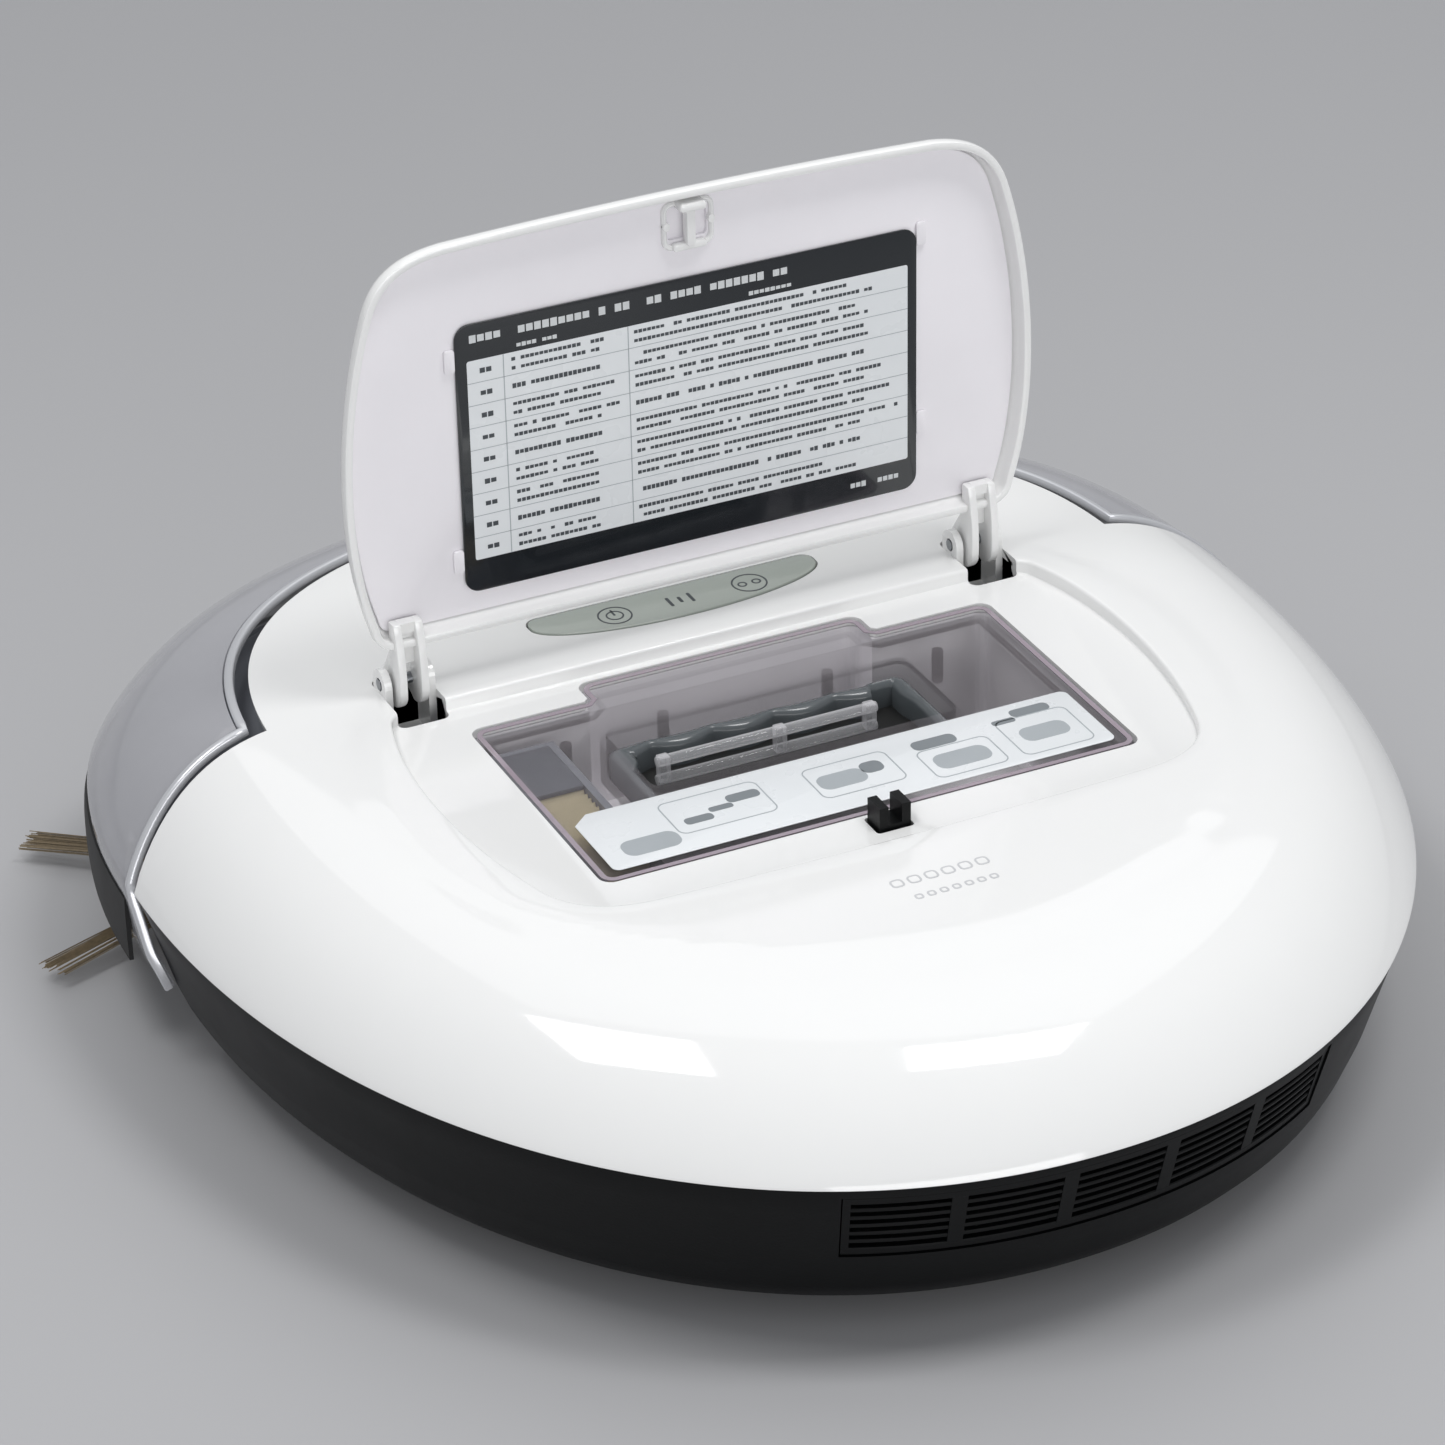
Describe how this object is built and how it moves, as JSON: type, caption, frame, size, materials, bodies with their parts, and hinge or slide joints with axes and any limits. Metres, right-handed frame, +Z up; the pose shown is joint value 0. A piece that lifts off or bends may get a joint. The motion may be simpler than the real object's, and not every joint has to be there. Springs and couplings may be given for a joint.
{
  "type": "robot vacuum cleaner",
  "caption": "D-shaped robot vacuum cleaner with a hinged top lid standing open over a lift-out dust bin, a sprung clear bumper, driven wheels, caster, main brush and side brushes.",
  "frame": {"origin": "centre of the footprint, on the floor under the wheels", "axes": "+Z up, +Y towards the bumper at the front, +X towards the machine's right"},
  "size_m": [0.3444, 0.3452, 0.2002],
  "materials": {
    "white_abs": "glossy moulded white ABS",
    "black_abs": "fine-textured moulded black ABS",
    "grey_abs": "satin moulded grey plastic",
    "clear_smoke_polycarbonate": "clear grey tinted polycarbonate",
    "clear_lilac_polycarbonate": "clear lilac-grey tinted polycarbonate",
    "bright_plated_trim": "bright satin plated trim",
    "black_rubber": "matt moulded rubber",
    "tyre_rubber": "ribbed tyre rubber",
    "steel": "turned and drawn steel",
    "plated_contact": "nickel-plated contact plate",
    "nylon_bristle": "tan and brown nylon bristles",
    "brush_rubber": "moulded blue brush rubber",
    "touch_panel_film": "grey-green touch film",
    "printed_label": "printed film label with a black frame",
    "printed_sticker": "printed pale sticker",
    "filter_paper": "pleated filter paper",
    "circuit_laminate": "green circuit board",
    "battery_sleeve": "blue shrink sleeve"
  },
  "bodies": {
    "chassis": {"top_shell": "white_abs", "base_shell": "black_abs", "exhaust_grille": "black_abs", "front_cover": "grey_abs", "control_panel": "touch_panel_film", "camera_window": "black_abs", "bin_well": "white_abs", "brush_housing": "black_abs", "brush_guard": "grey_abs", "caster_socket": "black_abs", "fan_housing": "black_abs", "fan_motor": "steel", "battery": "battery_sleeve", "battery_cover": "black_abs", "circuit_board": "circuit_laminate", "hinge_bracket_left": "white_abs", "hinge_bracket_right": "white_abs", "hinge_pin_left": "steel", "hinge_pin_right": "steel", "arm_pivot_pin_left": "steel", "arm_pivot_pin_right": "steel", "suspension_spring_left": "steel", "suspension_spring_right": "steel", "brush_bearing_left": "grey_abs", "brush_bearing_right": "grey_abs", "side_brush_motor_left": "grey_abs", "side_brush_motor_right": "grey_abs", "charge_contact_left": "plated_contact", "charge_contact_right": "plated_contact"},
    "lid": {"lid_outer": "white_abs", "lid_panel": "white_abs", "lid_label": "printed_label", "lid_latch_housing": "white_abs", "lid_arm_left": "white_abs", "lid_arm_right": "white_abs"},
    "bumper": {"bumper": "clear_smoke_polycarbonate", "bumper_trim": "bright_plated_trim", "bumper_strip": "black_rubber"},
    "latch": {"latch_hook": "black_abs"},
    "bin": {"bin_tub": "clear_lilac_polycarbonate", "filter_frame": "grey_abs", "filter": "filter_paper"},
    "bin_cover": {"bin_cover": "clear_lilac_polycarbonate", "bin_sticker": "printed_sticker"},
    "bin_handle": {"bin_handle": "clear_lilac_polycarbonate"},
    "main_brush": {"main_brush": "brush_rubber"},
    "side_brush_left": {"side_brush_left": "nylon_bristle"},
    "side_brush_right": {"side_brush_right": "nylon_bristle"},
    "fan": {"impeller": "grey_abs"},
    "wheel_arm_left": {"wheel_arm_left": "grey_abs"},
    "wheel_arm_right": {"wheel_arm_right": "grey_abs"},
    "wheel_left": {"wheel_hub_left": "grey_abs", "tyre_left": "tyre_rubber"},
    "wheel_right": {"wheel_hub_right": "grey_abs", "tyre_right": "tyre_rubber"},
    "caster_fork": {"caster_fork": "grey_abs", "caster_axle": "steel"},
    "caster_wheel": {"caster_wheel": "black_rubber"},
    "power_switch": {"power_switch": "black_rubber"}
  },
  "joints": [
    {"name": "lid_hinge", "type": "hinge", "parent": "chassis", "child": "lid", "pos_m": [0, 0.0469, 0.082], "axis": [1, 0, 0], "range_deg": [0, 90]},
    {"name": "bumper_slide", "type": "slide", "parent": "chassis", "child": "bumper", "axis": [0, 1, 0], "range_m": [-0.003, 0], "stiffness_N_per_m": 600, "springref_m": 0.004},
    {"name": "latch_press", "type": "slide", "parent": "chassis", "child": "latch", "axis": [0, 0, 1], "range_m": [-0.003, 0], "stiffness_N_per_m": 200, "springref_m": 0.002},
    {"name": "bin_lift", "type": "slide", "parent": "chassis", "child": "bin", "axis": [0, 0, 1], "range_m": [0, 0.06]},
    {"name": "bin_cover_hinge", "type": "hinge", "parent": "bin", "child": "bin_cover", "pos_m": [0, -0.0555, 0.0756], "axis": [1, 0, 0], "range_deg": [0, 80]},
    {"name": "bin_handle_tilt", "type": "hinge", "parent": "bin_cover", "child": "bin_handle", "pos_m": [-0.005, -0.0051, 0.0664], "axis": [1, 0, 0], "range_deg": [-75, 0]},
    {"name": "main_brush_spin", "type": "hinge", "parent": "chassis", "child": "main_brush", "pos_m": [0, -0.0836, 0.021], "axis": [1, 0, 0], "continuous": true},
    {"name": "side_brush_left_spin", "type": "hinge", "parent": "chassis", "child": "side_brush_left", "pos_m": [-0.108, 0.0964, 0.007], "axis": [0, 0, 1], "continuous": true},
    {"name": "side_brush_right_spin", "type": "hinge", "parent": "chassis", "child": "side_brush_right", "pos_m": [0.108, 0.0964, 0.007], "axis": [0, 0, -1], "continuous": true},
    {"name": "fan_spin", "type": "hinge", "parent": "chassis", "child": "fan", "pos_m": [0.044, -0.1311, 0.036], "axis": [0, 0, 1], "continuous": true},
    {"name": "wheel_arm_left_drop", "type": "hinge", "parent": "chassis", "child": "wheel_arm_left", "pos_m": [-0.098, 0.0204, 0.038], "axis": [1, 0, 0], "range_deg": [0, 14], "stiffness_Nm_per_rad": 0.3, "springref_deg": 45.84},
    {"name": "wheel_left_spin", "type": "hinge", "parent": "wheel_arm_left", "child": "wheel_left", "pos_m": [-0.118, -0.0196, 0.035], "axis": [1, 0, 0], "continuous": true},
    {"name": "wheel_arm_right_drop", "type": "hinge", "parent": "chassis", "child": "wheel_arm_right", "pos_m": [0.098, 0.0204, 0.038], "axis": [1, 0, 0], "range_deg": [0, 14], "stiffness_Nm_per_rad": 0.3, "springref_deg": 45.84},
    {"name": "wheel_right_spin", "type": "hinge", "parent": "wheel_arm_right", "child": "wheel_right", "pos_m": [0.118, -0.0196, 0.035], "axis": [1, 0, 0], "continuous": true},
    {"name": "caster_swivel", "type": "hinge", "parent": "chassis", "child": "caster_fork", "pos_m": [0, 0.1144, 0.03], "axis": [0, 0, 1], "continuous": true},
    {"name": "caster_roll", "type": "hinge", "parent": "caster_fork", "child": "caster_wheel", "pos_m": [0, 0.1074, 0.012], "axis": [1, 0, 0], "continuous": true},
    {"name": "power_switch_rock", "type": "hinge", "parent": "chassis", "child": "power_switch", "pos_m": [0.044, 0.0054, 0.0108], "axis": [1, 0, 0], "range_deg": [0, 12]}
  ]
}
